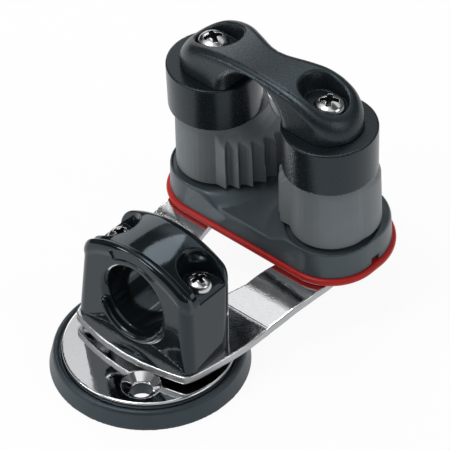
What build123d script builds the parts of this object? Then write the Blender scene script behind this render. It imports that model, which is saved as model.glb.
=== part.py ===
from build123d import *
import os
from math import atan2, cos, degrees, radians, sin, tan

os.makedirs("parts", exist_ok=True)

# Cam cleat on a swivel base, in millimetres
# Origin on the swivel axis at the bottom of the base, +Z up, +X from the swivel to the cleat

# Base: a moulded ring on the deck with a steel disc let into its top
ring_land_z = 3.55
disc_r = 21.97
disc_t = 2.4
disc_gap = 0.1
ring_lip_w = 2.33
ring_flare = 1.0
ring_hub_r = 10.8
base_hole_count = 3
base_hole_pcd = 30.2
base_hole_r = 2.8
base_hole_sink_r = 5.0
base_sink_depth = 1.8
base_hole_angle = -145.6
disc_top_z = ring_land_z + disc_t
ring_lip_z = disc_top_z - 0.85
ring_r_lip = disc_r + ring_lip_w
ring_r_bottom = ring_r_lip + ring_flare

# Swivel hub: a riveted sleeve turning in a flanged bush
run_gap = 0.05
hub_r = 7.0
hub_spigot_r = 5.0
rivet_r = 3.5
rivet_head_r = 5.4
rivet_head_t = 1.2
rivet_top_r = 4.4
rivet_top_t = 1.3
hub_washer_r = 4.9
hub_washer_t = 0.6
bush_wall = 1.35
bush_flange_r = 9.8
bush_flange_t = 1.7
thrust_r = ring_hub_r - 0.4
thrust_t = 0.85
retainer_t = 1.2

# Arm: one bent plate with two prongs
arm_t = 2.2
arm_front_x = -9.9
prong_rise = 4.4
bend_1_x = 18.9
bend_2_x = 26.1
bend_r = 1.5
prong_r = 7.35
arm_bottom_z = disc_top_z + bush_flange_t + run_gap
arm_top_z = arm_bottom_z + arm_t
prong_top_z = arm_top_z + prong_rise
prong_bottom_z = prong_top_z - arm_t
ramp_deg = degrees(atan2(prong_rise, bend_2_x - bend_1_x))

# Cleat position and screws
cleat_x = 47.7
cam_pitch_y = 38.1
cam_y = cam_pitch_y / 2
prong_end_x = cleat_x + 2.3
screw_r = 2.4
screw_hole_r = 2.65
screw_head_r = 4.2
screw_head_t = 3.1

# Bullseye block on the arm
block_front_x = -6.2
block_rear_x = 12.8
block_half_y = 19.1
block_floor_t = 2.6
block_crown_t = 3.9
block_draft = 4.3
block_top_corner = 0.657
block_rear_corner = 5.0
block_edge = 1.2
crown_r = 28.5
bore_r = 9.0
flare_r = 2.0
block_screw_x = 5.1
block_screw_y = 13.0
block_screw_r = 2.0
block_head_r = 3.5
block_head_t = 2.6
block_seat_over_bore = 6.1
pocket_r = 4.75
block_h = block_floor_t + 2 * (bore_r + flare_r) + block_crown_t
block_front_corner = block_top_corner + block_h * tan(radians(block_draft))
block_top_z = arm_top_z + block_h
bore_z = arm_top_z + block_floor_t + flare_r + bore_r
block_seat_z = bore_z + block_seat_over_bore

# Pad and cleat base outline
near_reach = 13.5
far_reach = 19.7
side_reach = 13.35
near_corner_r = 13.4
far_corner_r = 16.4
pad_t = 2.0
pad_round = 0.95
cleat_h = 7.7
cleat_inset = 1.0
cleat_draft = 2.0
boss_r = 8.4
near_x = cleat_x - near_reach
far_x = cleat_x + far_reach
half_y = cam_y + side_reach
cleat_z = prong_top_z + pad_t
cleat_rim_z = cleat_z + cleat_h
boss_z = cleat_rim_z + 0.45

# Cams, their sleeves and ball rows
cam_h = 18.9
sleeve_r = 5.0
sleeve_socket = 3.55
ball_r = 1.5
ball_gap = 0.02
ball_count = 12
race_h = 3.1
land_h = 1.2
cam_barrel_r = 10.6
tooth_angles = [230.0, 242.6, 255.2, 267.8, 280.4, 293.0, 305.6]
tooth_tip_r0 = 13.0
tooth_growth = 0.0795
tooth_depth = 1.5
cam_bottom_z = boss_z + run_gap
cam_top_z = cam_bottom_z + cam_h
sleeve_seat_z = cleat_rim_z - sleeve_socket
sleeve_top_z = cam_top_z + 2 * run_gap
ball_ring_r = sleeve_r + ball_gap + ball_r
race_r = ball_ring_r + ball_r + ball_gap

# Torsion springs between the ball rows
spring_wire_r = 0.55
spring_coil_r = 6.5
spring_end_gap = 0.6
spring_leg_angle = -30
spring_turns = 6 + spring_leg_angle / 360
spring_z0 = cam_bottom_z + race_h + land_h + spring_wire_r + spring_end_gap - 0.05
spring_h = cam_h - 2 * (race_h + land_h + spring_wire_r + spring_end_gap)
spring_top_z = spring_z0 + spring_h

# Collars and the bridge over the rope
collar_r_bottom = 12.0
collar_r_top = 12.18
collar_h = 13.0
bridge_h = 11.9
bridge_seat_h = 5.3
bulb_r = 8.6
bridge_waist = 3.7
arch_half_y = 9.0
arch_rise = 8.7
bridge_round = 2.0
bridge_pocket_r = 4.8
bridge_pocket_half = 1.3
collar_top_z = sleeve_top_z + collar_h
bridge_top_z = collar_top_z + bridge_h
bridge_seat_z = collar_top_z + bridge_seat_h

# Nuts and washers under the prongs
washer_r = 5.0
washer_t = 1.0
nut_flats = 8.0
nut_h = 4.7


def ring_solid(points, x=0.0, y=0.0):
    """Turn a profile of (radius, height) points about a vertical axis at x, y."""
    face = make_face(Polyline([(r, 0, z) for r, z in points], close=True))
    return Pos(x, y, 0) * revolve(face, Axis.Z, 360)


def disc(r, z0, z1, x=0.0, y=0.0):
    return Pos(x, y, z0) * Cylinder(r, z1 - z0, align=(Align.CENTER, Align.CENTER, Align.MIN))


def prism(points, z0, z1):
    face = make_face(Polyline([(px, py, z0) for px, py in points], close=True))
    return extrude(face, z1 - z0, dir=(0, 0, 1))


def save(name, *solids):
    parts = []
    for s in solids:
        parts.extend(s.solids())
    shape = parts[0] if len(parts) == 1 else Compound(parts)
    print(name, len(parts), "solids", round(sum(p.volume for p in parts), 1), all(p.is_valid for p in parts))
    export_step(shape, "parts/" + name + ".step")
    return shape


def mirror_y(shape):
    return mirror(shape, about=Plane.XZ)


def facing_down(sketch):
    face = sketch.faces()[0]
    return face if face.normal_at().Z < 0 else -face


# Base ring
ring = ring_solid([
    (ring_hub_r, 0),
    (ring_r_bottom, 0),
    (ring_r_lip, ring_lip_z - 0.7),
    (ring_r_lip - 0.35, ring_lip_z - 0.2),
    (ring_r_lip - 0.9, ring_lip_z),
    (ring_r_lip - 1.4, ring_lip_z - 0.25),
    (ring_r_lip - 1.7, ring_lip_z - 0.7),
    (disc_r + disc_gap, ring_lip_z - 0.8),
    (disc_r + disc_gap, ring_land_z),
    (ring_hub_r, ring_land_z),
])
base_holes = [
    (base_hole_pcd / 2 * cos(radians(base_hole_angle + 360 / base_hole_count * k)),
     base_hole_pcd / 2 * sin(radians(base_hole_angle + 360 / base_hole_count * k)))
    for k in range(base_hole_count)
]
for hx, hy in base_holes:
    ring -= disc(base_hole_r, -1, ring_land_z + 1, hx, hy)
save("base_ring", ring)

# Base disc with countersunk holes
plate = disc(disc_r, ring_land_z, disc_top_z)
plate = fillet(plate.edges().sort_by(Axis.Z)[-1], 0.5)
bush_r = hub_r + run_gap + bush_wall
plate -= disc(bush_r, ring_land_z - 1, disc_top_z + 1)
sink_slope = (base_hole_sink_r - base_hole_r) / base_sink_depth
for hx, hy in base_holes:
    plate -= disc(base_hole_r, ring_land_z - 1, disc_top_z + 1, hx, hy)
    plate -= ring_solid([
        (0, disc_top_z - base_sink_depth),
        (base_hole_r, disc_top_z - base_sink_depth),
        (base_hole_sink_r + sink_slope * 0.5, disc_top_z + 0.5),
        (0, disc_top_z + 0.5),
    ], hx, hy)
save("base_disc", plate)

# Hub bush and lower thrust washer, fixed in the base
bush_bore = hub_r + run_gap
bush_top_z = disc_top_z + bush_flange_t
save("hub_bush", ring_solid([
    (bush_bore, ring_land_z),
    (bush_r, ring_land_z),
    (bush_r, disc_top_z),
    (bush_flange_r, disc_top_z),
    (bush_flange_r, bush_top_z),
    (bush_bore, bush_top_z),
]))
thrust_bottom_z = ring_land_z - thrust_t
save("hub_thrust_washer", ring_solid([
    (bush_bore, thrust_bottom_z),
    (thrust_r, thrust_bottom_z),
    (thrust_r, ring_land_z),
    (bush_bore, ring_land_z),
]))

# Hub sleeve, retainer, rivet and washer, turning with the arm
sleeve_bottom_z = thrust_bottom_z - run_gap
save("hub_sleeve", ring_solid([
    (rivet_r, sleeve_bottom_z),
    (hub_r, sleeve_bottom_z),
    (hub_r, arm_bottom_z),
    (hub_spigot_r, arm_bottom_z),
    (hub_spigot_r, arm_top_z),
    (rivet_r, arm_top_z),
]))
retainer_bottom_z = sleeve_bottom_z - retainer_t
save("hub_retainer", ring_solid([
    (rivet_r, retainer_bottom_z),
    (thrust_r - 0.1, retainer_bottom_z),
    (thrust_r - 0.1, sleeve_bottom_z),
    (rivet_r, sleeve_bottom_z),
]))
hub_top_z = arm_top_z + hub_washer_t
save("hub_washer", ring_solid([
    (rivet_r, arm_top_z),
    (hub_washer_r, arm_top_z),
    (hub_washer_r, hub_top_z),
    (rivet_r, hub_top_z),
]))
rivet_end_z = hub_top_z + rivet_top_t
save("hub_rivet", ring_solid([
    (0, retainer_bottom_z - rivet_head_t),
    (rivet_head_r - 1.0, retainer_bottom_z - rivet_head_t),
    (rivet_head_r, retainer_bottom_z - 0.3 * rivet_head_t),
    (rivet_head_r, retainer_bottom_z),
    (rivet_r, retainer_bottom_z),
    (rivet_r, hub_top_z),
    (rivet_top_r, hub_top_z),
    (rivet_top_r, hub_top_z + 0.3 * rivet_top_t),
    (rivet_top_r - 1.4, rivet_end_z),
    (0, rivet_end_z),
]))

# Swivel arm: bent plate profile cut to the plan outline
bend_shift = arm_t * tan(radians(ramp_deg / 2))
strip_start_x = arm_front_x - arm_t
strip_end_x = prong_end_x + prong_r + arm_t
profile = make_face(Polyline([
    (strip_start_x, 0, arm_top_z),
    (bend_1_x, 0, arm_top_z),
    (bend_2_x, 0, prong_top_z),
    (strip_end_x, 0, prong_top_z),
    (strip_end_x, 0, prong_bottom_z),
    (bend_2_x + bend_shift, 0, prong_bottom_z),
    (bend_1_x + bend_shift, 0, arm_bottom_z),
    (strip_start_x, 0, arm_bottom_z),
], close=True))
strip = Pos(0, half_y, 0) * extrude(profile, 2 * half_y, dir=(0, -1, 0))


def bend_edges(plate_strip, *places):
    return [e for e in plate_strip.edges().filter_by(Axis.Y)
            if any(abs(e.center().X - x) < 0.05 and abs(e.center().Z - z) < 0.05 for x, z in places)]


strip = fillet(bend_edges(strip, (bend_1_x, arm_top_z), (bend_2_x + bend_shift, prong_bottom_z)), bend_r)
strip = fillet(bend_edges(strip, (bend_1_x + bend_shift, arm_bottom_z), (bend_2_x, prong_top_z)), bend_r + arm_t)
nose_x = arm_front_x + 2.3
prong_out_y = cam_y + prong_r
prong_in_y = cam_y - prong_r
plan_edges = []
for s in (1, -1):
    plan_edges.append(ThreePointArc((nose_x, 16.4 * s), (nose_x + 1.2, 18.6 * s), (nose_x + 4.2, 19.8 * s)))
    plan_edges.append(Spline((nose_x + 4.2, 19.8 * s), (5.9, 21.5 * s), (13, 22.5 * s),
                             (bend_1_x + 1.6, 23.3 * s), (bend_2_x - 2.1, (prong_out_y - 1.2) * s),
                             (bend_2_x + 1.4, prong_out_y * s), tangents=[(1, 0.25 * s), (1, 0)]))
    plan_edges.append(Line((bend_2_x + 1.4, prong_out_y * s), (prong_end_x, prong_out_y * s)))
    plan_edges.append(ThreePointArc((prong_end_x, prong_out_y * s), (prong_end_x + prong_r, cam_y * s),
                                    (prong_end_x, prong_in_y * s)))
    plan_edges.append(Line((prong_end_x, prong_in_y * s), (bend_2_x + 9.9, (prong_in_y - 0.4) * s)))
    plan_edges.append(Line((bend_2_x + 9.9, (prong_in_y - 0.4) * s), (bend_2_x - 0.1, (prong_in_y - 2.4) * s)))
plan_edges.append(ThreePointArc((nose_x, 16.4), (arm_front_x, 0), (nose_x, -16.4)))
plan_edges.append(ThreePointArc((bend_2_x - 0.1, prong_in_y - 2.4), (bend_1_x - 2.5, 0),
                                (bend_2_x - 0.1, 2.4 - prong_in_y)))
outline = make_face(Wire(plan_edges))
arm = extrude(outline, prong_top_z + 1, dir=(0, 0, 1)) & strip
arm -= disc(hub_spigot_r, 0, arm_top_z + 1)
for s in (1, -1):
    arm -= disc(block_screw_r, 0, arm_top_z + 1, block_screw_x, block_screw_y * s)
    arm -= disc(screw_hole_r, 0, prong_top_z + 1, cleat_x, cam_y * s)
save("swivel_arm", arm)

# Bullseye block: drafted front and sides, upright rear wall
block_edges = []
fc = block_front_corner
block_back_x = block_rear_x + block_h * tan(radians(block_draft)) + 1
k45 = cos(radians(45))
for s in (1, -1):
    block_edges.append(Line((block_front_x, 0), (block_front_x, (block_half_y - fc) * s)))
    block_edges.append(ThreePointArc(
        (block_front_x, (block_half_y - fc) * s),
        (block_front_x + fc * (1 - k45), (block_half_y - fc * (1 - k45)) * s),
        (block_front_x + fc, block_half_y * s)))
    block_edges.append(Line((block_front_x + fc, block_half_y * s), (block_back_x, block_half_y * s)))
block_edges.append(Line((block_back_x, block_half_y), (block_back_x, -block_half_y)))
footprint = Pos(0, 0, arm_top_z) * facing_down(make_face(Wire(block_edges)))
block = extrude(footprint, block_h + 1, dir=(0, 0, 1), taper=block_draft)
block &= Pos(block_rear_x, 0, arm_top_z) * Box(
    4 * block_half_y, 4 * block_half_y, 2 * block_h, align=(Align.MAX, Align.CENTER, Align.MIN))
rear_corners = [e for e in block.edges() if abs(e.center().X - block_rear_x) < 0.01
                and abs(e.center().Y) > block_half_y / 2 and e.length > block_h / 2]
block = fillet(rear_corners, block_rear_corner)
through = 4 * (block_rear_x - block_front_x)
block &= Pos(0, 0, block_top_z - crown_r) * Rot(0, 90, 0) * Cylinder(crown_r, through)
top_edges = [e for e in block.edges() if e.center().Z > bore_z + bore_r - 2]
block = fillet(top_edges, block_edge)
block -= Pos(0, 0, bore_z) * Rot(0, 90, 0) * Cylinder(bore_r, through)


def on_bore(p):
    return abs(((p.Y ** 2) + (p.Z - bore_z) ** 2) ** 0.5 - bore_r) < 0.05


mouths = [e for e in block.edges() if on_bore(e @ 0.2) and on_bore(e @ 0.6) and abs((e @ 0).X - (e @ 1).X) < 4]
block = fillet(mouths, flare_r)
for s in (1, -1):
    block -= disc(block_screw_r, arm_bottom_z, block_top_z, block_screw_x, block_screw_y * s)
    block -= disc(pocket_r, block_seat_z, block_top_z + 1, block_screw_x, block_screw_y * s)
    block -= Pos(block_screw_x, (block_screw_y + block_half_y / 2) * s, block_seat_z) * Box(
        2 * pocket_r, block_half_y, block_h, align=(Align.CENTER, Align.CENTER, Align.MIN))
hub_recess_r = hub_washer_r + 0.2
block -= disc(hub_recess_r, arm_bottom_z, rivet_end_z + 0.2)
save("bullseye_block", block)


# Screws with pan heads and a cross recess
def pan_screw(x, y, head_z, end_z, shank_r, head_r, head_t):
    body = ring_solid([
        (0, end_z),
        (shank_r - 0.4, end_z),
        (shank_r, end_z + 0.4),
        (shank_r, head_z),
        (head_r, head_z),
        (head_r, head_z + 0.42 * head_t),
        (0.9 * head_r, head_z + 0.74 * head_t),
        (0.65 * head_r, head_z + 0.93 * head_t),
        (0, head_z + head_t),
    ], x, y)
    for angle in (20, 110):
        body -= Pos(x, y, head_z + head_t) * Rot(0, 0, angle) * Box(1.1 * head_r, 0.22 * head_r, 0.9 * head_t)
    return body


save("block_screws", *[pan_screw(block_screw_x, block_screw_y * s, block_seat_z, arm_bottom_z - 0.4,
                                 block_screw_r, block_head_r, block_head_t) for s in (1, -1)])
nut_top_z = prong_bottom_z - washer_t
save("cleat_screws", *[pan_screw(cleat_x, cam_y * s, bridge_seat_z, nut_top_z - nut_h - 0.7,
                                 screw_r, screw_head_r, screw_head_t) for s in (1, -1)])


# Outline shared by the pad and the cleat base
def cleat_outline(inset, z):
    rn = near_corner_r - inset
    rf = far_corner_r - inset
    cn = (near_x + near_corner_r, half_y - near_corner_r)
    cf = (far_x - far_corner_r, half_y - far_corner_r)
    edges = []
    for s in (1, -1):
        edges.append(Line((cn[0] - rn, 0), (cn[0] - rn, cn[1] * s)))
        edges.append(ThreePointArc((cn[0] - rn, cn[1] * s), (cn[0] - rn * k45, (cn[1] + rn * k45) * s),
                                   (cn[0], (cn[1] + rn) * s)))
        edges.append(Line((cn[0], (cn[1] + rn) * s), (cf[0], (cf[1] + rf) * s)))
        edges.append(ThreePointArc((cf[0], (cf[1] + rf) * s), (cf[0] + rf * k45, (cf[1] + rf * k45) * s),
                                   (cf[0] + rf, cf[1] * s)))
        edges.append(Line((cf[0] + rf, cf[1] * s), (cf[0] + rf, 0)))
    return Pos(0, 0, z) * facing_down(make_face(Wire(edges)))


# Pad between the prongs and the cleat
pad = extrude(cleat_outline(0, prong_top_z), pad_t, dir=(0, 0, 1))
rim_edges = [e for e in pad.edges() if abs(e.center().Z - prong_top_z) < 0.01
             or abs(e.center().Z - cleat_z) < 0.01]
pad = fillet(rim_edges, pad_round)
for s in (1, -1):
    pad -= disc(screw_hole_r, prong_bottom_z, cleat_z + 1, cleat_x, cam_y * s)
save("cleat_pad", pad)

# Cleat base with a lower channel between the cams
base = extrude(cleat_outline(cleat_inset, cleat_z), cleat_h, dir=(0, 0, 1), taper=cleat_draft)
channel = make_face(Polyline([
    (near_x - 4.2, 0, cleat_rim_z - 4.4),
    (near_x + 3.3, 0, cleat_rim_z - 2.4),
    (cleat_x, 0, cleat_rim_z - 1.4),
    (far_x - 5.4, 0, cleat_rim_z - 1.4),
    (far_x + 4.6, 0, cleat_rim_z - 3.4),
    (far_x + 4.6, 0, cleat_rim_z + 1),
    (near_x - 4.2, 0, cleat_rim_z + 1),
], close=True))
channel_half = cam_y - boss_r - 1.65
base -= Pos(0, channel_half, 0) * extrude(channel, 2 * channel_half, dir=(0, -1, 0))
for s in (1, -1):
    base += disc(boss_r, cleat_rim_z - 1, boss_z, cleat_x, cam_y * s)
    base -= disc(screw_hole_r, prong_bottom_z, boss_z + 1, cleat_x, cam_y * s)
    base -= disc(sleeve_r, sleeve_seat_z, boss_z + 1, cleat_x, cam_y * s)
notch = Pos(cleat_x + 2.5, -half_y + 1.0, cleat_z + 0.9) * Box(2.6, 3.4, 1.8)
base -= notch
base -= mirror_y(notch)
save("cleat_base", base)

# Cam sleeves with the hole for the spring's inner leg
sleeves = []
for s in (1, -1):
    sleeve = ring_solid([
        (screw_hole_r, sleeve_seat_z),
        (sleeve_r, sleeve_seat_z),
        (sleeve_r, sleeve_top_z),
        (screw_hole_r, sleeve_top_z),
    ], cleat_x, cam_y * s)
    leg_hole = Pos(cleat_x + sleeve_r - 0.5, cam_y * s, spring_z0) * Rot(0, 90, 0) * Cylinder(spring_wire_r + 0.1, 3.0)
    sleeves.append(sleeve - leg_hole)
save("cam_sleeves", *sleeves)


# Left cam in plan: spiral lobe, toothed face, plain barrel
def cam_radius(deg):
    if deg <= 90:
        return cam_barrel_r + (90 - deg) * 0.046
    return cam_barrel_r


cam_plan = []
for deg in range(-50, 95, 5):
    cam_plan.append((deg, cam_radius(deg)))
for deg in range(100, 221, 8):
    cam_plan.append((deg, cam_barrel_r))
for k, deg in enumerate(tooth_angles):
    tip = tooth_tip_r0 + (deg - tooth_angles[0]) * tooth_growth
    cam_plan.append((deg, tip))
    if k < len(tooth_angles) - 1:
        cam_plan.append((deg + 2.4, tip - tooth_depth))
        cam_plan.append((deg + 5.5, tip - tooth_depth + 0.25))
points = [(r * cos(radians(d)), r * sin(radians(d))) for d, r in cam_plan]
cam = prism(points, cam_bottom_z, cam_top_z)
lobe_r = 2 * collar_r_bottom
cam = cam & ring_solid([
    (0, cam_bottom_z - 1),
    (lobe_r, cam_bottom_z - 1),
    (lobe_r, cam_bottom_z + 0.16 * cam_h),
    (collar_r_bottom + 7.5, cam_top_z - 0.6 * cam_h),
    (collar_r_bottom + 1.0, cam_top_z - 5.0),
    (collar_r_bottom + 0.1, cam_top_z - 1.4),
    (collar_r_bottom - 0.6, cam_top_z),
    (0, cam_top_z),
])
land_r = sleeve_r + run_gap
cam -= ring_solid([
    (0, cam_bottom_z - 1),
    (race_r, cam_bottom_z - 1),
    (race_r, cam_bottom_z + race_h),
    (land_r, cam_bottom_z + race_h),
    (land_r, cam_bottom_z + race_h + land_h),
    (race_r, cam_bottom_z + race_h + land_h),
    (race_r, cam_top_z - race_h - land_h),
    (land_r, cam_top_z - race_h - land_h),
    (land_r, cam_top_z - race_h),
    (race_r, cam_top_z - race_h),
    (race_r, cam_top_z + 1),
    (0, cam_top_z + 1),
])
leg_out_x = race_r + 0.56
cam -= Rot(0, 0, spring_leg_angle) * Pos(leg_out_x, 0, spring_top_z) * Rot(0, 90, 0) * Cylinder(
    spring_wire_r + 0.1, 2.6)
cam_left = Pos(cleat_x, cam_y, 0) * cam
save("cam_left", cam_left)
save("cam_right", mirror_y(cam_left))

# Ball rows at the bottom and the top of each cam
balls = []
for z in (boss_z + ball_gap + ball_r, sleeve_top_z - ball_gap - ball_r):
    for k in range(ball_count):
        a = radians(360 / ball_count * k + 10)
        balls.append(Pos(cleat_x + ball_ring_r * cos(a), cam_y + ball_ring_r * sin(a), z) * Sphere(ball_r))
save("cam_left_balls", *balls)
save("cam_right_balls", *[mirror_y(b) for b in balls])

# Torsion springs inside the cams
coil_path = Helix(pitch=spring_h / spring_turns, height=spring_h, radius=spring_coil_r)
wire_face = Plane(origin=coil_path @ 0, z_dir=coil_path % 0) * Circle(spring_wire_r)
coil = Pos(0, 0, spring_z0) * sweep(wire_face, path=coil_path, is_frenet=True)
inner_leg_end = sleeve_r - 0.8
inner_leg = Pos((inner_leg_end + spring_coil_r) / 2, 0, spring_z0) * Rot(0, 90, 0) * Cylinder(
    spring_wire_r, spring_coil_r - inner_leg_end)
outer_leg_end = race_r + 1.26
outer_leg = Rot(0, 0, spring_leg_angle) * Pos((outer_leg_end + spring_coil_r) / 2, 0, spring_top_z) * Rot(
    0, 90, 0) * Cylinder(spring_wire_r, outer_leg_end - spring_coil_r)
spring = coil + inner_leg + outer_leg
spring_left = Pos(cleat_x, cam_y, 0) * spring
save("cam_left_spring", spring_left)
save("cam_right_spring", mirror_y(spring_left))

# Collars over the cams
collars = []
for s in (1, -1):
    collars.append(ring_solid([
        (screw_hole_r, sleeve_top_z),
        (collar_r_bottom, sleeve_top_z),
        (collar_r_top, collar_top_z - 0.4),
        (collar_r_top - 0.4, collar_top_z),
        (screw_hole_r, collar_top_z),
    ], cleat_x, cam_y * s))
save("cam_collars", *collars)

# Bridge across the collars: crowned top, waisted plan, elliptical arch
bridge_front_x = cleat_x - bulb_r
end_y = cam_y + bulb_r
crown_points = [(cam_y + bulb_r, 9.8), (cam_y + 5.55, 5.8), (cam_y, 2.8), (0.58 * cam_y, 0.8)]
crown_line = [(0, -y, bridge_top_z - drop) for y, drop in crown_points]
crown_line.append((0, 0, bridge_top_z))
crown_line += [(0, y, bridge_top_z - drop) for y, drop in reversed(crown_points)]
side_wire = [Spline(crown_line)]
side_wire.append(Line(crown_line[-1], (0, end_y, collar_top_z)))
side_wire.append(Line((0, end_y, collar_top_z), (0, -end_y, collar_top_z)))
side_wire.append(Line((0, -end_y, collar_top_z), crown_line[0]))
side_face = make_face(Wire(side_wire))
bridge = Pos(bridge_front_x - 1, 0, 0) * extrude(side_face, 2 * bulb_r + 2, dir=(1, 0, 0))
waist_points = [(0.84 * cam_y, bulb_r - 0.1), (0.63 * cam_y, bulb_r - 0.9), (0.39 * cam_y, bulb_r - 2.7),
                (0.16 * cam_y, bridge_waist + 0.5)]
waist_line = [(cleat_x + bulb_r, cam_y)]
waist_line += [(cleat_x + reach, y) for y, reach in waist_points]
waist_line.append((cleat_x + bridge_waist, 0))
waist_line += [(cleat_x + reach, -y) for y, reach in reversed(waist_points)]
waist_line.append((cleat_x + bulb_r, -cam_y))
plan = [Line((bridge_front_x, -cam_y), (bridge_front_x, cam_y)),
        Spline(waist_line, tangents=[(0, -1), (0, -1)])]
for s in (1, -1):
    plan.append(ThreePointArc((bridge_front_x, cam_y * s), (cleat_x, end_y * s), (cleat_x + bulb_r, cam_y * s)))
plan_face = Pos(0, 0, collar_top_z - 1) * make_face(Wire(plan))
bridge &= extrude(plan_face, bridge_h + 2, dir=(0, 0, 1))
top_rim = [e for e in bridge.edges() if e.center().Z > bridge_top_z - 1 and e.length > cam_y]
bridge = fillet(top_rim, bridge_round)
arch = extrude(Plane.YZ * Ellipse(arch_half_y, arch_rise), 2 * bulb_r + 2)
bridge -= Pos(bridge_front_x - 1, 0, collar_top_z) * arch
for s in (1, -1):
    bridge -= disc(screw_hole_r, collar_top_z - 1, bridge_top_z, cleat_x, cam_y * s)
    pocket_y = cam_y - 0.45 - bridge_pocket_half
    for off in (-bridge_pocket_half, bridge_pocket_half):
        bridge -= disc(bridge_pocket_r, bridge_seat_z, bridge_top_z, cleat_x, (pocket_y + off) * s)
    bridge -= Pos(cleat_x, pocket_y * s, bridge_seat_z) * Box(
        2 * bridge_pocket_r, 2 * bridge_pocket_half, bridge_h, align=(Align.CENTER, Align.CENTER, Align.MIN))
save("cleat_bridge", bridge)

# Washers and lock nuts under the prongs
washers = []
nuts = []
nut_bottom_z = nut_top_z - nut_h
nut_r = nut_flats / 2
for s in (1, -1):
    washers.append(ring_solid([
        (screw_hole_r, nut_top_z),
        (washer_r, nut_top_z),
        (washer_r, prong_bottom_z),
        (screw_hole_r, prong_bottom_z),
    ], cleat_x, cam_y * s))
    hexagon = Pos(cleat_x, cam_y * s, nut_bottom_z) * extrude(RegularPolygon(nut_r, 6, major_radius=False), nut_h)
    trim = ring_solid([
        (0, nut_bottom_z),
        (nut_r - 0.7, nut_bottom_z),
        (nut_r - 0.25, nut_bottom_z + 0.3 * nut_h),
        (nut_r + 0.7, nut_bottom_z + 0.3 * nut_h),
        (nut_r + 0.7, nut_top_z - 0.4),
        (nut_r + 0.2, nut_top_z),
        (0, nut_top_z),
    ], cleat_x, cam_y * s)
    nuts.append((hexagon & trim) - disc(screw_r, 0, nut_top_z + 1, cleat_x, cam_y * s))
save("cleat_washers", *washers)
save("cleat_nuts", *nuts)
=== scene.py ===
import math

import bpy
import numpy as np
from mathutils import Matrix, Vector


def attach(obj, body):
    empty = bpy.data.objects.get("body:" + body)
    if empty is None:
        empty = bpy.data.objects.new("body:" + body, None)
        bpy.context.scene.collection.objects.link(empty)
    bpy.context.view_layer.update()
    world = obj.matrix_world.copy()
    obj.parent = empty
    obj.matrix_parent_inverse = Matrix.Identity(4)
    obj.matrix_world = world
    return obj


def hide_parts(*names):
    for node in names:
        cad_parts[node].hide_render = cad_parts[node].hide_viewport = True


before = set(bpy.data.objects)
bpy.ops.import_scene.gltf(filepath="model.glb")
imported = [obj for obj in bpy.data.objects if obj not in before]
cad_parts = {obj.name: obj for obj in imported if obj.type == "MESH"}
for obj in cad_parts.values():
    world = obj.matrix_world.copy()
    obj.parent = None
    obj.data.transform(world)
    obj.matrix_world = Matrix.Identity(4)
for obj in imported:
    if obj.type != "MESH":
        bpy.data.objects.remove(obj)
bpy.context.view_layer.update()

# Camera at the photograph's angle: a long lens looking down on the front of the bullseye
# from the right, with the cleat behind it.
camera = bpy.data.objects.new("camera", bpy.data.cameras.new("camera"))
bpy.context.scene.collection.objects.link(camera)
camera.data.lens = 360
camera.data.sensor_width = 36
camera.data.clip_start = 0.05
camera.data.clip_end = 20
look_right = Vector((0.66499, -0.7463, -0.02858))
look_up = Vector((0.51505, 0.43055, 0.74118))
look_back = Vector((-0.54084, -0.5076, 0.6707))
camera_place = (-0.578736, -0.57049, 0.778915)
camera.matrix_world = Matrix.Translation(camera_place) @ Matrix(
    (look_right, look_up, look_back)).transposed().to_4x4()
bpy.context.scene.camera = camera

# Studio: a pale floor in a white room. What the polished faces mirror of it is bright overhead,
# with dark bands across and a dim horizon. Five soft lamps light the base: two overhead, one on
# the right, one behind and a long strip on the left.
bpy.context.scene.view_settings.view_transform = "Standard"
room = bpy.data.worlds.new("studio_room")
bpy.context.scene.world = room
room.use_nodes = True
nodes, links = room.node_tree.nodes, room.node_tree.links
seen = nodes.new("ShaderNodeLightPath")
direct = nodes.new("ShaderNodeMath")
direct.operation = "MAXIMUM"
links.new(seen.outputs["Is Camera Ray"], direct.inputs[0])
links.new(seen.outputs["Is Transmission Ray"], direct.inputs[1])
place = nodes.new("ShaderNodeTexCoord")
height = nodes.new("ShaderNodeSeparateXYZ")
links.new(place.outputs["Generated"], height.inputs["Vector"])
canopy = nodes.new("ShaderNodeMapRange")
canopy.interpolation_type = "SMOOTHSTEP"
canopy.inputs["From Min"].default_value = 0.56
canopy.inputs["From Max"].default_value = 0.76
canopy.inputs["To Min"].default_value = 0.12
canopy.inputs["To Max"].default_value = 1.05
links.new(height.outputs["Z"], canopy.inputs["Value"])
across = nodes.new("ShaderNodeMapRange")
across.inputs["From Min"].default_value = -1.0
links.new(height.outputs["X"], across.inputs["Value"])
side = nodes.new("ShaderNodeValToRGB")
side.color_ramp.interpolation = "EASE"
canopy_bands = ((0.16, 0.15), (0.29, 1.0), (0.452, 1.0), (0.50, 0.10), (0.71, 0.10), (0.75, 1.0))
for at, bright in canopy_bands:
    stop = side.color_ramp.elements.new(at)
    stop.color = (bright, bright, bright, 1)
side.color_ramp.elements.remove(side.color_ramp.elements[0])
side.color_ramp.elements.remove(side.color_ramp.elements[-1])
links.new(across.outputs["Result"], side.inputs["Fac"])
sky = nodes.new("ShaderNodeMath")
sky.operation = "MULTIPLY"
links.new(canopy.outputs["Result"], sky.inputs[0])
links.new(side.outputs["Color"], sky.inputs[1])
mirrored_room = nodes.new("ShaderNodeMapRange")
mirrored_room.inputs["To Min"].default_value = 0.42
links.new(seen.outputs["Is Glossy Ray"], mirrored_room.inputs["Value"])
links.new(sky.outputs[0], mirrored_room.inputs["To Max"])
strength = nodes.new("ShaderNodeMapRange")
strength.inputs["To Max"].default_value = 1.0
links.new(direct.outputs[0], strength.inputs["Value"])
links.new(mirrored_room.outputs["Result"], strength.inputs["To Min"])
links.new(strength.outputs["Result"], nodes["Background"].inputs["Strength"])
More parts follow.
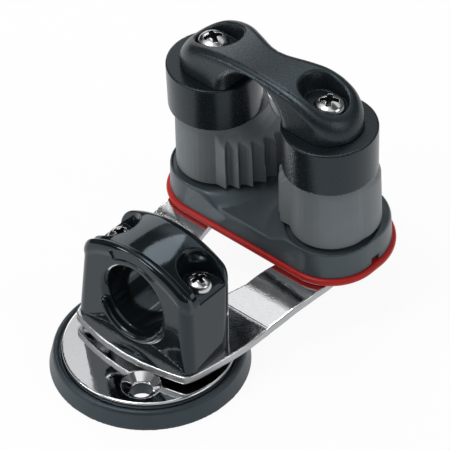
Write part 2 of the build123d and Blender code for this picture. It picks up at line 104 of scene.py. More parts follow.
nodes["Background"].inputs["Color"].default_value = (1, 1, 1, 1)

floor_mesh = bpy.data.meshes.new("studio_floor")
floor_mesh.from_pydata([(-3, -3, 0), (3, -3, 0), (3, 3, 0), (-3, 3, 0)], [], [(0, 1, 2, 3)])
floor = bpy.data.objects.new("studio_floor", floor_mesh)
bpy.context.scene.collection.objects.link(floor)
floor_paint = bpy.data.materials.new("studio_floor")
floor_paint.use_nodes = True
nodes, links = floor_paint.node_tree.nodes, floor_paint.node_tree.links
nodes["Principled BSDF"].inputs["Base Color"].default_value = (0.93, 0.93, 0.93, 1)
nodes["Principled BSDF"].inputs["Roughness"].default_value = 0.9
nodes["Principled BSDF"].inputs["Specular IOR Level"].default_value = 0.0
glow = nodes.new("ShaderNodeEmission")
glow.inputs["Color"].default_value = (1, 1, 1, 1)
seen = nodes.new("ShaderNodeLightPath")
direct = nodes.new("ShaderNodeMath")
direct.operation = "MAXIMUM"
links.new(seen.outputs["Is Camera Ray"], direct.inputs[0])
links.new(seen.outputs["Is Glossy Ray"], direct.inputs[1])
mix = nodes.new("ShaderNodeMixShader")
share = nodes.new("ShaderNodeMapRange")
share.inputs["To Max"].default_value = 0.92
links.new(direct.outputs[0], share.inputs["Value"])
links.new(share.outputs["Result"], mix.inputs["Fac"])
links.new(nodes["Principled BSDF"].outputs["BSDF"], mix.inputs[1])
links.new(glow.outputs["Emission"], mix.inputs[2])
links.new(mix.outputs["Shader"], nodes["Material Output"].inputs["Surface"])
floor_mesh.materials.append(floor_paint)

lamp_aim = (0.02, 0, 0.03)


def soft_lamp(name, place, width, height, power):
    lamp = bpy.data.objects.new(name, bpy.data.lights.new(name, "AREA"))
    lamp.data.shape = "RECTANGLE"
    lamp.data.size = width
    lamp.data.size_y = height
    lamp.data.energy = power
    lamp.location = place
    lamp.rotation_euler = (Vector(lamp_aim) - Vector(place)).to_track_quat("-Z", "Y").to_euler()
    bpy.context.scene.collection.objects.link(lamp)


soft_lamp("lamp_left", (-0.36, 0.22, 1.16), 0.42, 0.42, 4.2)
soft_lamp("lamp_right", (0.25, -0.95, 0.55), 0.5, 0.5, 1.7)
soft_lamp("lamp_top", (0.43, 0.36, 1.12), 0.4, 0.4, 2.0)
soft_lamp("lamp_strip", (-0.90, 0.61, 0.50), 0.6, 0.14, 3.0)
soft_lamp("lamp_back", (0.62, 0.88, 0.56), 0.5, 0.5, 1.6)

# Base ring: a moulded skirt of dark grey plastic that stands on the deck. A rounded lip and a
# groove run round its top, and the steel disc lies inside them. Three screws go through it.
ring_profile = [
    (11.0, 0.2), (25.08, 0.2), (24.95, 0.75), (24.12, 4.2), (23.8, 4.7), (23.4, 4.87), (23.1, 4.7),
    (22.85, 4.2), (22.5, 4.0), (22.28, 4.0), (22.28, 3.34), (11.0, 3.34)]
ring_edge = 0.2
deck_circle_r = 15.1
deck_hole_r = 2.8
deck_hole_angles = (-145.6, -25.6, 94.4)
deck_holes = [(deck_circle_r * math.cos(math.radians(a)), deck_circle_r * math.sin(math.radians(a)))
              for a in deck_hole_angles]


def profile_distance(points, u, v):
    """Distance to a closed outline in its own plane, negative inside it."""
    outline = np.array(points, float)
    nearest = np.full(u.shape, 1e9)
    inside = np.zeros(u.shape, bool)
    for (ax, ay), (bx, by) in zip(outline, np.roll(outline, -1, axis=0)):
        ex, ey = bx - ax, by - ay
        wx, wy = u - ax, v - ay
        along = np.clip((wx * ex + wy * ey) / (ex * ex + ey * ey), 0, 1)
        nearest = np.minimum(nearest, (wx - ex * along) ** 2 + (wy - ey * along) ** 2)
        if ay != by:
            inside ^= ((ay > v) != (by > v)) & (wx < ex * wy / ey)
    return np.where(inside, -1.0, 1.0) * np.sqrt(nearest)


def both(a, b, edge):
    """What two forms share, with the edge between them rounded."""
    over = np.hypot(np.maximum(a + edge, 0), np.maximum(b + edge, 0))
    return over + np.minimum(np.maximum(a, b), -edge)


def either(a, b, fillet):
    """Two forms together, with a fillet where they meet."""
    return -both(-a, -b, fillet)


def without(a, b, edge):
    """A form with another cut out of it, with the edge of the cut rounded."""
    return both(a, -b, edge)


def skin(form, low, high, step):
    """Mesh the surface of a form given as a distance in millimetres."""
    axes = [np.arange(low[i], high[i] + step, step) for i in range(3)]
    x, y, z = np.meshgrid(*axes, indexing="ij")
    value = form(x, y, z)
    solid = value < 0
    cells = tuple(n - 1 for n in value.shape)
    total = np.zeros(cells + (3,))
    count = np.zeros(cells)
    edges = []
    for axis in range(3):
        first = [slice(None)] * 3
        second = [slice(None)] * 3
        first[axis] = slice(None, -1)
        second[axis] = slice(1, None)
        first, second = tuple(first), tuple(second)
        place = np.argwhere(solid[first] != solid[second])
        others = [k for k in range(3) if k != axis]
        place = place[np.all([(place[:, k] > 0) & (place[:, k] < cells[k]) for k in others], axis=0)]
        here = tuple(place.T)
        a = value[first][here]
        b = value[second][here]
        point = np.stack([axes[k][place[:, k]] for k in range(3)], 1)
        point[:, axis] += step * a / (a - b)
        for da in (0, 1):
            for db in (0, 1):
                cell = place.copy()
                cell[:, others[0]] -= da
                cell[:, others[1]] -= db
                np.add.at(total, tuple(cell.T), point)
                np.add.at(count, tuple(cell.T), 1)
        edges.append((axis, others, place, a < 0))
    used = count > 0
    number = np.full(cells, -1)
    number[used] = np.arange(used.sum())
    points = total[used] / count[used][:, None]
    quads = []
    for axis, others, place, outward in edges:
        ring = []
        for da, db in ((0, 0), (1, 0), (1, 1), (0, 1)):
            cell = place.copy()
            cell[:, others[0]] -= da
            cell[:, others[1]] -= db
            ring.append(number[tuple(cell.T)])
        ring = np.stack(ring, 1)
        turned = outward if axis != 1 else ~outward
        ring[~turned] = ring[~turned][:, ::-1]
        quads.append(ring)
    quads = np.concatenate(quads)

    def slope(p):
        near = 0.01
        return np.stack([
            form(p[:, 0] + near, p[:, 1], p[:, 2]) - form(p[:, 0] - near, p[:, 1], p[:, 2]),
            form(p[:, 0], p[:, 1] + near, p[:, 2]) - form(p[:, 0], p[:, 1] - near, p[:, 2]),
            form(p[:, 0], p[:, 1], p[:, 2] + near) - form(p[:, 0], p[:, 1], p[:, 2] - near),
        ], 1) / (2 * near)

    for _ in range(4):
        lean = slope(points)
        size = np.maximum((lean ** 2).sum(1), 0.05)
        move = lean * (form(points[:, 0], points[:, 1], points[:, 2]) / size)[:, None]
        length = np.linalg.norm(move, axis=1)
        move *= np.minimum(1, step * 0.6 / np.maximum(length, 1e-9))[:, None]
        points = points - move
    lean = slope(points)
    lean /= np.maximum(np.linalg.norm(lean, axis=1), 1e-9)[:, None]
    return points, quads, lean


def shifted(part, x=0.0, y=0.0, z=0.0):
    """The same skin moved."""
    points, quads, lean = part
    return points + np.array((x, y, z)), quads, lean


def mirrored(part):
    """The same skin on the other side of the middle."""
    points, quads, lean = part
    flip = np.array((1, -1, 1))
    return points * flip, quads[:, ::-1], lean * flip


def piece(name, parts, finish, body, slot, *nodes_shown):
    """Make one object in metres from its skins and put it in the frame."""
    points, quads, lean, start = [], [], [], 0
    for p, q, n in parts:
        points.append(p * 0.001)
        quads.append(q + start)
        lean.append(n)
        start += len(p)
    mesh = bpy.data.meshes.new(name)
    mesh.from_pydata(np.concatenate(points).tolist(), [], np.concatenate(quads).tolist())
    mesh.shade_smooth()
    mesh.normals_split_custom_set_from_vertices(np.concatenate(lean).tolist())
    mesh.materials.append(finish)
    made = bpy.data.objects.new(name, mesh)
    bpy.context.scene.collection.objects.link(made)
    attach(made, body)
    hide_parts(*nodes_shown)
    return made


def moulded(name, colour, roughness, grain=0.02, grain_size=0.00045, tone=0.12, specular=0.5,
            gloss_spread=0.05, gloss_tint=(0.72, 0.89, 1.0, 1)):
    """Moulded plastic: fine spark grain, faint flow tone and uneven gloss."""
    paint = bpy.data.materials.new(name)
    paint.use_nodes = True
    nodes, links = paint.node_tree.nodes, paint.node_tree.links
    shader = nodes["Principled BSDF"]
    shader.inputs["Specular IOR Level"].default_value = specular
    shader.inputs["Specular Tint"].default_value = gloss_tint
    place = nodes.new("ShaderNodeTexCoord")
    cloud = nodes.new("ShaderNodeTexNoise")
    cloud.inputs["Scale"].default_value = 90
    cloud.inputs["Detail"].default_value = 4
    links.new(place.outputs["Object"], cloud.inputs["Vector"])
    shade = nodes.new("ShaderNodeMapRange")
    shade.inputs["From Min"].default_value = 0.3
    shade.inputs["From Max"].default_value = 0.7
    shade.inputs["To Min"].default_value = 1 - tone
    shade.inputs["To Max"].default_value = 1 + tone
    links.new(cloud.outputs["Fac"], shade.inputs["Value"])
    tint = nodes.new("ShaderNodeVectorMath")
    tint.operation = "SCALE"
    tint.inputs[0].default_value = colour
    links.new(shade.outputs["Result"], tint.inputs["Scale"])
    links.new(tint.outputs["Vector"], shader.inputs["Base Color"])
    spark = nodes.new("ShaderNodeTexNoise")
    spark.inputs["Scale"].default_value = 1 / grain_size
    spark.inputs["Detail"].default_value = 3
    links.new(place.outputs["Object"], spark.inputs["Vector"])
    gloss = nodes.new("ShaderNodeMapRange")
    gloss.inputs["From Min"].default_value = 0.3
    gloss.inputs["From Max"].default_value = 0.7
    gloss.inputs["To Min"].default_value = max(roughness - gloss_spread, 0.02)
    gloss.inputs["To Max"].default_value = roughness + gloss_spread
    links.new(spark.outputs["Fac"], gloss.inputs["Value"])
    links.new(gloss.outputs["Result"], shader.inputs["Roughness"])
    bump = nodes.new("ShaderNodeBump")
    bump.inputs["Strength"].default_value = grain
    bump.inputs["Distance"].default_value = 0.0002
    links.new(spark.outputs["Fac"], bump.inputs["Height"])
    links.new(bump.outputs["Normal"], shader.inputs["Normal"])
    return paint


def base_ring_form(x, y, z):
    body = profile_distance(ring_profile, np.hypot(x, y), z) - ring_edge
    for hx, hy in deck_holes:
        body = without(body, np.hypot(x - hx, y - hy) - deck_hole_r, 0.15)
    return body


ring_grey = moulded("ring_grey", (0.026, 0.034, 0.040), 0.40, grain=0.12)
piece("base_ring_moulding", [skin(base_ring_form, (-26, -26, -0.6), (26, 26, 5.8), 0.34)],
      ring_grey, "base", "ring_plastic", "base_ring")

# Base disc: stainless steel plate polished to a mirror, let into the ring, with a rolled rim
# and three holes countersunk for the deck screws.
disc_r = 21.97
disc_bore_r = 8.4
disc_mid_z = 4.75
disc_top_z = 5.95
sink_r = 5.0
sink_flare = 1.2222


def polished(name, colour, roughness, peel=0.25, peel_size=0.0009, rough_spread=0.05):
    """Polished stainless steel with a slight orange peel and faint clouding."""
    paint = bpy.data.materials.new(name)
    paint.use_nodes = True
    nodes, links = paint.node_tree.nodes, paint.node_tree.links
    shader = nodes["Principled BSDF"]
    shader.inputs["Metallic"].default_value = 1.0
    place = nodes.new("ShaderNodeTexCoord")
    cloud = nodes.new("ShaderNodeTexNoise")
    cloud.inputs["Scale"].default_value = 260
    cloud.inputs["Detail"].default_value = 5
    links.new(place.outputs["Object"], cloud.inputs["Vector"])
    tint = nodes.new("ShaderNodeMix")
    tint.data_type = "RGBA"
    tint.inputs["A"].default_value = (*[c * 0.93 for c in colour], 1)
    tint.inputs["B"].default_value = (*colour, 1)
    links.new(cloud.outputs["Fac"], tint.inputs["Factor"])
    links.new(tint.outputs["Result"], shader.inputs["Base Color"])
    gloss = nodes.new("ShaderNodeMapRange")
    gloss.inputs["From Min"].default_value = 0.35
    gloss.inputs["From Max"].default_value = 0.65
    gloss.inputs["To Min"].default_value = max(roughness - rough_spread, 0.02)
    gloss.inputs["To Max"].default_value = roughness + rough_spread
    links.new(cloud.outputs["Fac"], gloss.inputs["Value"])
    links.new(gloss.outputs["Result"], shader.inputs["Roughness"])
    dimple = nodes.new("ShaderNodeTexNoise")
    dimple.inputs["Scale"].default_value = 1 / peel_size
    dimple.inputs["Detail"].default_value = 2
    links.new(place.outputs["Object"], dimple.inputs["Vector"])
    bump = nodes.new("ShaderNodeBump")
    bump.inputs["Strength"].default_value = peel
    bump.inputs["Distance"].default_value = 0.0001
    links.new(dimple.outputs["Fac"], bump.inputs["Height"])
    links.new(bump.outputs["Normal"], shader.inputs["Normal"])
    return paint


def base_disc_form(x, y, z):
    r = np.hypot(x, y)
    body = both(np.maximum(r - disc_r, disc_bore_r - r), np.abs(z - disc_mid_z) - 1.2, 0.4)
    for hx, hy in deck_holes:
        d = np.hypot(x - hx, y - hy)
        sink = (d - (sink_r + (z - disc_top_z) * sink_flare)) * 0.633
        body = without(body, np.minimum(d - deck_hole_r, sink), 0.12)
    return body


disc_steel = polished("disc_steel", (0.76, 0.77, 0.78), 0.05, peel=0.06)
piece("base_disc_plate", [skin(base_disc_form, (-23, -23, 3.0), (23, 23, 6.6), 0.32)],
      disc_steel, "base", "polished_steel", "base_disc")

# Swivel arm: stainless plate stamped and bent up to carry the cleat on two prongs. Polished on
# top, with the edges broken and the cut sides left satin and painted darker as shade.
arm_half_t = 1.1
arm_mid_z = 8.8
ramp_slope = 0.432
bend_x = (19.2, 29.36)
bend_soft = (0.45, 4.2)
hub_hole_r = 5.0
block_screw_x, block_screw_y, block_screw_r = 5.1, 13.0, 2.0
cleat_x, cam_y, screw_hole_r = 47.7, 19.05, 2.65


def curve_through(points, each=6):
    """Points along a smooth curve through the given ones."""
    p = np.array(points, float)
    p = np.vstack([2 * p[0] - p[1], p, 2 * p[-1] - p[-2]])
    made = []
    for k in range(1, len(p) - 2):
        for t in np.linspace(0, 1, each, endpoint=False):
            a, b, c, d = p[k - 1], p[k], p[k + 1], p[k + 2]
            made.append(0.5 * (2 * b + (c - a) * t + (2 * a - 5 * b + 4 * c - d) * t ** 2
                               + (3 * b - 3 * c + d - a) * t ** 3))
    made.append(p[-2])
    return [tuple(q) for q in made]


def arc_points(cx, cy, r, start, end, count):
    """Points along an arc, from one angle to another in degrees."""
    return [(cx + r * math.cos(math.radians(a)), cy + r * math.sin(math.radians(a)))
            for a in np.linspace(start, end, count)]


arm_plan = [(-9.9, -6), (-9.9, 0)]
arm_plan += curve_through([(-9.86, 2.0), (-9.32, 8.2), (-7.6, 16.4), (-6.4, 18.6), (-3.4, 19.8)], 5)
arm_plan += curve_through([(-3.4, 19.8), (5.9, 21.5), (13, 22.3), (19.2, 22.5), (22.5, 23.5),
                           (26.5, 24.7), (31.0, 25.8), (38.0, 26.4)], 5)[1:]
arm_plan += arc_points(50.0, cam_y, 7.35, 90, -90, 19)
arm_plan += [(36.0, 11.3), (26.0, 9.3)]
arm_plan += curve_through([(26.0, 9.3), (21.3, 6.2), (18.0, 3.2), (16.4, 0)], 5)[1:]
arm_plan += [(16.4, -6)]


def ramp(u, soft):
    """Nothing before a bend, and as far past it as u after it, rounded over the bend."""
    mid = (u + soft) ** 2 / (4 * soft)
    return np.where(u < -soft, 0, np.where(u > soft, u, mid))


def ramp_turn(u, soft):
    """The share of a bend's turn that is done."""
    return np.clip((u + soft) / (2 * soft), 0, 1)


def swivel_arm_form(x, y, z):
    rise, turn = [along(x - bend_x[0], bend_soft[0]) - along(x - bend_x[1], bend_soft[1])
                  for along in (ramp, ramp_turn)]
    middle = arm_mid_z + ramp_slope * rise
    lean = ramp_slope * turn
    plate = np.abs(z - middle) / np.sqrt(1 + lean ** 2) - arm_half_t
    side = np.abs(y)
    body = both(plate, profile_distance(arm_plan, x, side), 0.35)
    body = without(body, np.hypot(x, y) - hub_hole_r, 0.1)
    body = without(body, np.hypot(x - block_screw_x, side - block_screw_y) - block_screw_r, 0.1)
    return without(body, np.hypot(x - cleat_x, side - cam_y) - screw_hole_r, 0.1)


def satin_shaded_sides(paint, colour, roughness):
    """Leave the faces that stand upright satin, as a stamped edge is, and darker with painted shade."""
    nodes, links = paint.node_tree.nodes, paint.node_tree.links
    shader = nodes["Principled BSDF"]
    place = nodes.new("ShaderNodeTexCoord")
    facing = nodes.new("ShaderNodeSeparateXYZ")
    links.new(place.outputs["Normal"], facing.inputs["Vector"])
    level = nodes.new("ShaderNodeMath")
    level.operation = "ABSOLUTE"
    links.new(facing.outputs["Z"], level.inputs[0])
    flat = nodes.new("ShaderNodeMapRange")
    flat.inputs["From Min"].default_value = 0.35
    flat.inputs["From Max"].default_value = 0.65
    links.new(level.outputs[0], flat.inputs["Value"])
    shade = nodes.new("ShaderNodeMix")
    shade.data_type = "RGBA"
    shade.inputs["A"].default_value = (*colour, 1)
    links.new(flat.outputs["Result"], shade.inputs["Factor"])
    links.new(shader.inputs["Base Color"].links[0].from_socket, shade.inputs["B"])
    links.new(shade.outputs["Result"], shader.inputs["Base Color"])
    dull = nodes.new("ShaderNodeMix")
    dull.inputs["A"].default_value = roughness
    links.new(flat.outputs["Result"], dull.inputs["Factor"])
    links.new(shader.inputs["Roughness"].links[0].from_socket, dull.inputs["B"])
    links.new(dull.outputs["Result"], shader.inputs["Roughness"])


arm_steel = polished("arm_steel", (0.76, 0.77, 0.78), 0.08, peel=0.25, peel_size=0.0004)
# The upright faces get a darker colour: painted shade over the real satin finish.
satin_shaded_sides(arm_steel, (0.40, 0.41, 0.42), 0.34)
piece("swivel_arm_plate", [skin(swivel_arm_form, (-11, -27.4, 6.8), (58.4, 27.4, 15.2), 0.32)],
      arm_steel, "arm", "polished_steel", "swivel_arm")

# Bullseye block: one moulding of glossy black plastic screwed to the arm, with a round flared
# bore for the rope, a rolled lip along the front of its crown and a pocket for each screw.
arm_top_z = 9.9
block_draft = math.tan(math.radians(4.3))
block_front_x, block_rear_x, block_half_y = -6.2, 12.8, 19.1
crown_r = 28.5
bore_z, bore_r, flare_r = 23.5, 9.0, 1.9
mouth_r, mouth_bead_r, mouth_reach = 10.1, 1.4, math.radians(62)
panel_r, panel_half_w, panel_half_arc, panel_depth = 12.9, 1.35, 7.6, 0.4
pocket_r, pocket_flare, block_seat_z = 4.75, 0.06, 29.6
rivet_recess_r, rivet_recess_z = 5.1, 12.0


def bullseye_form(x, y, z):
    side = np.abs(y)
    up = z - arm_top_z
    lean = block_draft * up
    front = block_front_x + lean
    half = block_half_y - lean
    corner = np.where(x < 3, 2.8, np.clip(7.0 - 0.18 * up, 3.0, 7.0))
    qx = np.where(x < 3, front + corner - x, x - block_rear_x + corner)
    qy = side - half + corner
    walls = np.minimum(np.maximum(qx, qy), 0) + np.hypot(np.maximum(qx, 0), np.maximum(qy, 0)) - corner
    rim = np.hypot(y, up) - crown_r
    crown = rim + 0.9 * (1 - np.clip((x + 1.5) / 11, 0, 1)) ** 1.7
    roll = 1.7 + 1.1 * np.clip((x - 4) / 4, 0, 1)
    body = both(walls, crown, roll)
    body = both(body, arm_top_z - z, 0.3)
    lip = np.hypot(walls + 1.6, rim + 1.5) - 1.8
    lip = both(lip, x + 2.4, 1.2)
    body = either(body, lip, 0.9)
    from_bore = np.hypot(y, z - bore_z)
    below = np.clip(np.arctan2(side, bore_z - z), 0, mouth_reach)
    mouth = np.sqrt((side - mouth_r * np.sin(below)) ** 2 + (z - bore_z + mouth_r * np.cos(below)) ** 2
                    + (x - front + 0.1) ** 2) - mouth_bead_r
    body = either(body, mouth, 0.35)
    along_panel = np.abs(np.arctan2(y, z - bore_z)) * panel_r
    panel = both(np.abs(from_bore - panel_r) - panel_half_w, along_panel - panel_half_arc, 0.6)
    body = without(body, both(panel, x - front - panel_depth, 0.15), 0.25)
    body = without(body, from_bore - bore_r, flare_r)
    widening = pocket_flare * (z - block_seat_z)
    scoop = np.hypot(x - block_screw_x, side - block_screw_y) - widening - pocket_r
    slot_cut = np.maximum(np.abs(x - block_screw_x) - pocket_r - widening, block_screw_y - side)
    seat = block_seat_z - z - 0.4 * np.clip(side - 16.2, 0, 4)
    pocket = np.maximum(np.minimum(scoop, slot_cut), seat)
    body = without(body, pocket, 0.4)
    body = without(body, np.maximum(np.hypot(x, y) - rivet_recess_r, z - rivet_recess_z), 0.1)
    return without(body, np.hypot(x - block_screw_x, side - block_screw_y) - block_screw_r, 0.1)


block_black = moulded("block_black", (0.006, 0.0085, 0.0105), 0.09, grain=0.012, tone=0.05)
piece("bullseye_moulding", [skin(bullseye_form, (-9, -20, 9.2), (13.8, 20, 41), 0.25)],
      block_black, "arm", "block_plastic", "bullseye_block")

# Block screws: two pan-head screws of stainless steel, seated in the block's pockets and turned
# into the arm. Each has a domed head with a cross recess, like the long screws of the cleat.
block_head_r, block_head_t, block_screw_end_z = 3.5, 2.6, 7.3


def dome_radius(head_r, head_t):
    """Radius of the dome that tops the upright side of a head."""
    drop = 0.58 * head_t
    return (head_r ** 2 + drop ** 2) / (2 * drop)


def screw_head_form(head_r, head_t, turn):
    """A head seated at z = 0 on its own axis, with its recess turned by so many degrees."""
    c, s = math.cos(math.radians(turn)), math.sin(math.radians(turn))
    dome_r = dome_radius(head_r, head_t)

    def form(x, y, z):
        r = np.hypot(x, y)
        dome = np.sqrt(r ** 2 + (z - head_t + dome_r) ** 2) - dome_r
        body = both(np.maximum(r - head_r, -z - 0.5), dome, 0.22 * head_r)
        a = np.abs(x * c + y * s)
        b = np.abs(y * c - x * s)
        depth = head_t - z
        long_arm = 0.62 * head_r - 0.40 * depth
        wide_arm = 0.15 * head_r - 0.03 * depth
        wing = np.minimum(both(a - long_arm, b - wide_arm, 0.1),
                          both(b - long_arm, a - wide_arm, 0.1))
        core = (a + b) * 0.7071 - 0.27 * head_r + 0.12 * depth
        recess = np.maximum(np.minimum(wing, core), 0.18 * head_t - z)
        return without(body, recess, 0.12)

    return form


def screw_shank_form(shank_r, end_z, top_z):
    """A shank on its own axis with a rounded point."""

    def form(x, y, z):
        length = np.abs(z - (end_z + top_z) / 2) - (top_z - end_z) / 2
        return both(np.hypot(x, y) - shank_r, length, 0.5)

    return form


def pan_screw(head_r, head_t, shank_r, seat_z, end_z, turn):
    """The skins of one screw on the origin's axis."""
    head = skin(screw_head_form(head_r, head_t, turn), (-head_r - 0.4, -head_r - 0.4, -0.9),
                (head_r + 0.4, head_r + 0.4, head_t + 0.4), 0.15)
    shank = skin(screw_shank_form(shank_r, end_z, seat_z), (-shank_r - 0.6, -shank_r - 0.6, end_z - 0.6),
                 (shank_r + 0.6, shank_r + 0.6, seat_z + 0.6), 0.4)
    return [shifted(head, z=seat_z), shank]


def shade_recess_walls(screws, head_r, head_t, seat_z, axes):
    """Give the walls of each cross recess the dull finish that the punch leaves, and darken them with
    painted shade.
    """
    dome_r = dome_radius(head_r, head_t)
    screws.data.materials.append(recess_dull_shaded)
    for face in screws.data.polygons:
        x, y, z = face.center * 1000
        for ax, ay in axes:
            r = math.hypot(x - ax, y - ay)
            if r >= 0.68 * head_r:
                continue
            dome_z = seat_z + head_t - dome_r + math.sqrt(dome_r ** 2 - r ** 2)
            if seat_z < z < dome_z - 0.12:
                face.material_index = 1


screw_bright = polished("screw_bright", (0.58, 0.59, 0.59), 0.20, peel=0.10)
# Recess walls: a duller steel, with its dark colour painted shade.
recess_dull_shaded = polished("recess_dull_shaded", (0.10, 0.105, 0.11), 0.40, peel=0.2)
block_screws = []
for side, turn in ((1, 10), (-1, -13)):
    for part in pan_screw(block_head_r, block_head_t, block_screw_r, block_seat_z, block_screw_end_z, turn):
        block_screws.append(shifted(part, block_screw_x, block_screw_y * side))
block_screws = piece("block_pan_screws", block_screws, screw_bright, "arm", "screw_steel", "block_screws")
shade_recess_walls(block_screws, block_head_r, block_head_t, block_seat_z,
              ((block_screw_x, block_screw_y), (block_screw_x, -block_screw_y)))

# Pad: a sheet moulded in red plastic with a half-round edge, between the prongs and the cleat.
# The screws clamp it, and it follows the outline of the cleat base all round.
pad_mid_x, pad_half_x, pad_half_y = 50.8, 16.6, 32.4
near_corner_r, far_corner_r = 13.4, 16.4
pad_mid_z, pad_half_t, pad_round = 15.3, 1.0, 0.95


def plan_rounded(x, y, inset):
    """Distance to the outline that the pad and the cleat base share, moved in by so much."""
    corner = np.where(x < pad_mid_x, near_corner_r, far_corner_r) - inset
    qx = np.abs(x - pad_mid_x) - pad_half_x + inset + corner
    qy = np.abs(y) - pad_half_y + inset + corner
    return np.minimum(np.maximum(qx, qy), 0) + np.hypot(np.maximum(qx, 0), np.maximum(qy, 0)) - corner


def pad_form(x, y, z):
    body = both(plan_rounded(x, y, 0), np.abs(z - pad_mid_z) - pad_half_t, pad_round)
    return without(body, np.hypot(x - cleat_x, np.abs(y) - cam_y) - screw_hole_r, 0.1)


pad_red = moulded("pad_red", (0.44, 0.016, 0.014), 0.34, grain=0.04, tone=0.08, specular=0.25,
                  gloss_tint=(1, 1, 1, 1))
piece("cleat_pad_sheet", [skin(pad_form, (33.5, -33.1, 13.7), (68.1, 33.1, 16.9), 0.34)],
      pad_red, "arm", "pad_plastic", "cleat_pad")

# Cleat base: dark grey moulding under the cams. Its walls rise to a rim round each cam, the
# rope runs in the lower channel between them, and a notch at each end lets water out.
cleat_floor_z, cleat_rim_z = 16.3, 24.0
cleat_inset, cleat_draft = 1.0, 0.035
channel_z, channel_rise = 21.4, 1.2
well_r, well_z = 11.6, 23.2
boss_r, boss_z = 8.4, 24.45
sleeve_r, sleeve_seat_z = 5.0, 20.45
notch_x, notch_half_w, notch_y, notch_z = 50.2, 1.3, 30.4, 18.1


def cleat_base_form(x, y, z):
    side = np.abs(y)
    from_cam = np.hypot(x - cleat_x, side - cam_y)
    walls = plan_rounded(x, y, cleat_inset + cleat_draft * (z - cleat_floor_z))
    top = channel_z + channel_rise * np.clip((x - 36) / 12, 0, 1)
    rise = np.clip((16.6 - from_cam) / 4.4, 0, 1)
    rise = rise * rise * (3 - 2 * rise)
    top = top + (cleat_rim_z - top) * rise
    body = both(walls, (z - top) * 0.85, 0.7)
    body = both(body, cleat_floor_z - z, 0.05)
    well = np.maximum(from_cam - well_r, well_z - z)
    body = without(body, well, 0.3)
    boss = both(from_cam - boss_r, z - boss_z, 0.1)
    body = np.minimum(body, np.maximum(boss, 20 - z))
    body = without(body, np.maximum(from_cam - sleeve_r, sleeve_seat_z - z), 0.05)
    body = without(body, from_cam - screw_hole_r, 0.05)
    notch = np.maximum(np.maximum(np.abs(x - notch_x) - notch_half_w, notch_y - side), z - notch_z)
    return without(body, notch, 0.25)


cleat_grey = moulded("cleat_grey", (0.050, 0.061, 0.069), 0.34, grain=0.10)
piece("cleat_base_moulding", [skin(cleat_base_form, (34.2, -32.5, 15.8), (67.6, 32.5, 25.2), 0.36)],
      cleat_grey, "arm", "cleat_plastic", "cleat_base")

# Cams: grey fibre-filled composite, each turning on balls round a steel sleeve. Upright teeth
# grow along a spiral on the jaw side, and a shoulder slopes up to the collar. Inside are two
# ball races with the spring's room between them.
cam_barrel_r = 10.6
cam_bottom_z, cam_top_z = 24.5, 43.4
tooth_count, first_tooth, first_tip_r = 7, 231.5, 13.0
tooth_pitch, pitch_loss, tip_growth = 14.1, 0.23, 0.0795
tooth_flank = ((4.2, 1.5), (6.0, 1.45), (9.5, 0.6))
back_growth = 0.046
race_r, land_r = 8.04, 5.05
lower_race_z, spring_low_z, spring_high_z, upper_race_z = 27.6, 28.8, 39.1, 40.3

cam_outline = []
for deg in range(-50, 95, 5):
    cam_outline.append((deg, cam_barrel_r + max(90 - deg, 0) * back_growth))
for deg in range(100, 221, 8):
    cam_outline.append((deg, cam_barrel_r))
for k in range(tooth_count):
    deg = first_tooth + tooth_pitch * k - pitch_loss * k * k
    tip = first_tip_r + (deg - first_tooth) * tip_growth
    cam_outline.append((deg, tip))
    if k < tooth_count - 1:
        cam_outline += [(deg + past, tip - drop) for past, drop in tooth_flank]
cam_outline = [(r * math.cos(math.radians(d)), r * math.sin(math.radians(d))) for d, r in cam_outline]
shoulder_profile = [
    (0, cam_bottom_z), (30, cam_bottom_z), (22, 30.0), (17.5, 33.6), (15.1, 35.6), (13.0, 37.4),
    (11.6, 38.8), (10.5, 40.8), (9.8, cam_top_z), (0, cam_top_z)]


def cam_form(x, y, z):
    plan = profile_distance(cam_outline, x, y)
    r = np.hypot(x, y)
    turn = (np.degrees(np.arctan2(y, x)) + 52) % 360 - 52
    growth = np.interp(turn, (-52, 90, first_tooth, 308), (6.5, 0, 0, 6.1))
    shoulder = profile_distance(shoulder_profile, r - 0.6 * growth, z)
    shoulder = np.maximum(shoulder, cam_bottom_z - z)
    body = both(plan + 0.012 * (z - cam_bottom_z), shoulder, 0.35)
    race_low = np.maximum(r - race_r, z - lower_race_z)
    race_high = np.maximum(r - race_r, upper_race_z - z)
    spring_room = np.maximum(r - race_r, np.maximum(spring_low_z - z, z - spring_high_z))
    bore = np.minimum(np.minimum(race_low, race_high), np.minimum(spring_room, r - land_r))
    return without(body, bore, 0.1)


cam_grey = moulded("cam_grey", (0.126, 0.139, 0.149), 0.44, grain=0.14, tone=0.10)
cam_skin = skin(cam_form, (-13.5, -20, 23.9), (17.8, 12.4, 44.2), 0.38)
piece("cam_left_moulding", [shifted(cam_skin, cleat_x, cam_y)],
      cam_grey, "cam_l", "cam_composite", "cam_left")
piece("cam_right_moulding", [shifted(mirrored(cam_skin), cleat_x, -cam_y)],
      cam_grey, "cam_r", "cam_composite", "cam_right")

# Collars: two turned spacers of black plastic that lie on the sleeves over the cams and hold
# the bridge up. The long screws clamp them.
collar_r, collar_taper = 12.0, 0.0138
collar_bottom_z, collar_mid_z, collar_half_h = 43.5, 50.0, 6.5


def collar_form(x, y, z):
    r = np.hypot(x, y)
    side = r - collar_r - collar_taper * (z - collar_bottom_z)
    ends = np.abs(z - collar_mid_z) - collar_half_h
    return without(both(side, ends, 0.4), r - screw_hole_r, 0.1)


collar_black = moulded("collar_black", (0.007, 0.010, 0.0125), 0.27, grain=0.002, specular=0.42,
                       gloss_spread=0.01)
collar_skin = skin(collar_form, (-12.9, -12.9, 43), (12.9, 12.9, 57.1), 0.4)
piece("cam_collar_pair", [shifted(collar_skin, cleat_x, cam_y), shifted(collar_skin, cleat_x, -cam_y)],
      collar_black, "arm", "collar_plastic", "cam_collars")

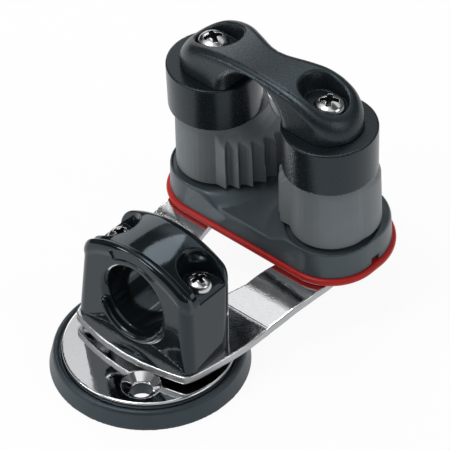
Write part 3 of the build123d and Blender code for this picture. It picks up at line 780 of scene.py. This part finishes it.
# Bridge: matte black moulding that spans the two collars and keeps the rope in, arched below,
# waisted in plan and hollowed into a deep oval pocket over each screw.
bridge_foot_z, bridge_top_z = 56.5, 68.4
bulb_r = 8.6
arch_half_y, arch_rise = 9.0, 8.7
cleat_seat_z, cleat_pocket_r, cleat_pocket_half = 61.8, 4.8, 1.3
bridge_plan = [(39.1, -6), (39.1, cam_y)]
bridge_plan += arc_points(cleat_x, cam_y, bulb_r, 180, 0, 25)[1:]
bridge_plan += curve_through([(56.3, cam_y), (56.2, 16.0), (55.4, 12.0), (53.6, 7.5), (51.9, 3.0),
                              (51.4, 0)], 6)[1:]
bridge_plan += [(51.4, -6)]


def bridge_form(x, y, z):
    side = np.abs(y)
    plan = profile_distance(bridge_plan, x, side)
    top = bridge_top_z - 0.0058 * side ** 2 - 0.0000066 * side ** 4
    slope = 0.0116 * side + 0.0000264 * side ** 3
    over = (z - top) / np.sqrt(1 + slope ** 2)
    body = both(plan, over, 2.3 + 0.05 * np.clip(side - 8, 0, 20))
    body = both(body, bridge_foot_z - z, 0.3)
    arch = np.hypot(side / arch_half_y, (z - bridge_foot_z) / arch_rise) * 8.85 - 8.85
    body = np.maximum(body, both(-arch, plan, 3.4))
    oval = np.hypot(x - 48.0, np.maximum(np.abs(side - 17.3) - cleat_pocket_half, 0))
    pocket = oval - cleat_pocket_r - 0.09 * (z - cleat_seat_z)
    body = without(body, np.maximum(pocket, cleat_seat_z - z), 0.7)
    return without(body, np.hypot(x - cleat_x, side - cam_y) - screw_hole_r, 0.1)


bridge_black = moulded("bridge_black", (0.0105, 0.014, 0.0165), 0.31, grain=0.18, gloss_spread=0.07)
piece("cleat_bridge_moulding", [skin(bridge_form, (38.4, -28.5, 55.9), (57.1, 28.5, 70), 0.34)],
      bridge_black, "arm", "bridge_plastic", "cleat_bridge")

# Long screws: two stainless pan heads seated in the bridge's pockets, each through a collar, a
# cam's sleeve, the cleat base and pad to a lock nut under its prong.
cleat_head_r, cleat_head_t, cleat_screw_r, cleat_screw_end_z = 4.2, 3.1, 2.4, 5.7
cleat_screws = []
for side, turn in ((1, 60), (-1, 35)):
    for part in pan_screw(cleat_head_r, cleat_head_t, cleat_screw_r, cleat_seat_z, cleat_screw_end_z, turn):
        cleat_screws.append(shifted(part, cleat_x, cam_y * side))
cleat_screws = piece("cleat_pan_screws", cleat_screws, screw_bright, "arm", "screw_steel", "cleat_screws")
shade_recess_walls(cleat_screws, cleat_head_r, cleat_head_t, cleat_seat_z, ((cleat_x, cam_y), (cleat_x, -cam_y)))

# Hidden and small pieces keep their solids: bush and washer of bearing plastic, turned steel hub
# and sleeves, plastic balls, drawn spring wire, and bright steel washers and nuts.
bearing_white = moulded("bearing_white", (0.62, 0.60, 0.54), 0.45, grain=0.05, gloss_tint=(1, 1, 1, 1))
bearing_black = moulded("bearing_black", (0.012, 0.014, 0.016), 0.40, grain=0.05)
turned_steel = polished("turned_steel", (0.62, 0.63, 0.64), 0.22, peel=0.1)
spring_steel = polished("spring_steel", (0.55, 0.55, 0.55), 0.25, peel=0.1)
for names, finish in (
        (("hub_bush", "hub_thrust_washer"), bearing_black),
        (("hub_sleeve", "hub_retainer", "hub_washer", "hub_rivet", "cam_sleeves"), turned_steel),
        (("cam_left_balls", "cam_right_balls"), bearing_white),
        (("cam_left_spring", "cam_right_spring"), spring_steel),
        (("cleat_washers", "cleat_nuts"), screw_bright)):
    for name in names:
        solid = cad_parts[name]
        solid.data.materials.clear()
        solid.data.materials.append(finish)
